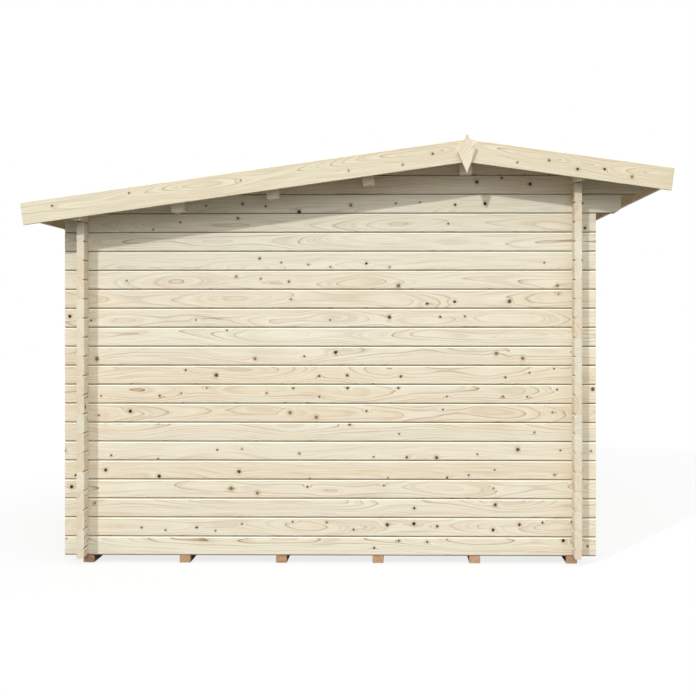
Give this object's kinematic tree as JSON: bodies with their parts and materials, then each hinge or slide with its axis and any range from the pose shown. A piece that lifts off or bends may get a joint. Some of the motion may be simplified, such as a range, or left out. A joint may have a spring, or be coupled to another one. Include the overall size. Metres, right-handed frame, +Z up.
{
  "type": "log garden shed",
  "caption": "Garden shed of interlocking spruce logs with crossed corners, an uneven gable roof with bargeboards and diamond finials, bearers and a boarded door.",
  "frame": {"origin": "on the ground, under the middle of the roof's outline", "axes": "+X towards the front eave and the door, +Y towards the right gable as seen facing the door, +Z up"},
  "size_m": [3.814, 3.43, 2.5403],
  "materials": {
    "logs": "planed untreated spruce",
    "purlins": "planed untreated spruce",
    "roof_boards": "planed untreated spruce boards",
    "trim": "planed untreated spruce boards",
    "floor": "planed untreated spruce boards",
    "door": "planed untreated spruce",
    "bearers": "sawn, pressure-treated brown",
    "hardware": "zinc-plated"
  },
  "bodies": {
    "root": {"bearer_1": "bearers", "bearer_2": "bearers", "bearer_3": "bearers", "bearer_4": "bearers", "bearer_5": "bearers", "bearer_6": "bearers", "floor_deck": "floor", "left_gable_wall": "logs", "right_gable_wall": "logs", "rear_wall": "logs", "front_sill_log": "logs", "front_wall_left": "logs", "front_wall_right": "logs", "front_wall_over_door": "logs", "ridge_purlin": "purlins", "purlin_1": "purlins", "purlin_2": "purlins", "purlin_3": "purlins", "rear_roof_deck": "roof_boards", "front_roof_deck": "roof_boards", "rear_fascia": "trim", "front_fascia": "trim", "left_bargeboard_rear": "trim", "left_bargeboard_front": "trim", "right_bargeboard_rear": "trim", "right_bargeboard_front": "trim", "left_finial": "trim", "right_finial": "trim", "door_frame": "door", "threshold": "door", "door_leaf": "door", "door_ledges": "door", "door_hinges": "hardware", "door_handle": "hardware"}
  },
  "joints": []
}
